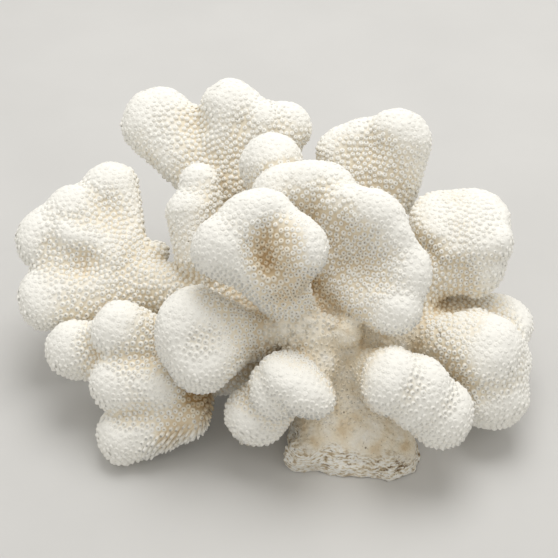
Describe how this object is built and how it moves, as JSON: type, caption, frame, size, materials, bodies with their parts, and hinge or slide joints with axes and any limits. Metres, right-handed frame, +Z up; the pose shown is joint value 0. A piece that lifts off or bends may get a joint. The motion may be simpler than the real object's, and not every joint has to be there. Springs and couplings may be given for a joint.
{
  "type": "cats paw coral skeleton",
  "caption": "Bleached cat's paw coral skeleton with thick lobed fans and knobs on a short trunk, cut flat under its foot.",
  "frame": {"origin": "centre of the flat cut under the foot, on the surface that the coral stands on", "axes": "+Z up from the cut, -Y the front that the trunk's foot faces, +X the right side seen from the front"},
  "size_m": [0.1542, 0.1107, 0.0754],
  "materials": {
    "coral_white": "chalky dry skeleton, nearly white",
    "coral_cream": "chalky dry skeleton, cream to tan in the hollows",
    "coral_tan": "worn dry skeleton, smooth and tan"
  },
  "bodies": {
    "root": {"trunk_and_foot": "coral_tan", "far_left_fan": "coral_white", "left_lower_knobs": "coral_cream", "front_left_knob": "coral_cream", "front_knobs": "coral_white", "crown_knob": "coral_cream", "left_crown_column": "coral_cream", "back_left_fan": "coral_white", "crown_fan": "coral_cream", "back_right_fan": "coral_cream", "right_paw": "coral_cream", "right_lower_knobs": "coral_cream", "front_right_knob": "coral_white", "rear_left_knob": "coral_tan", "rear_right_knob": "coral_tan"}
  },
  "joints": []
}
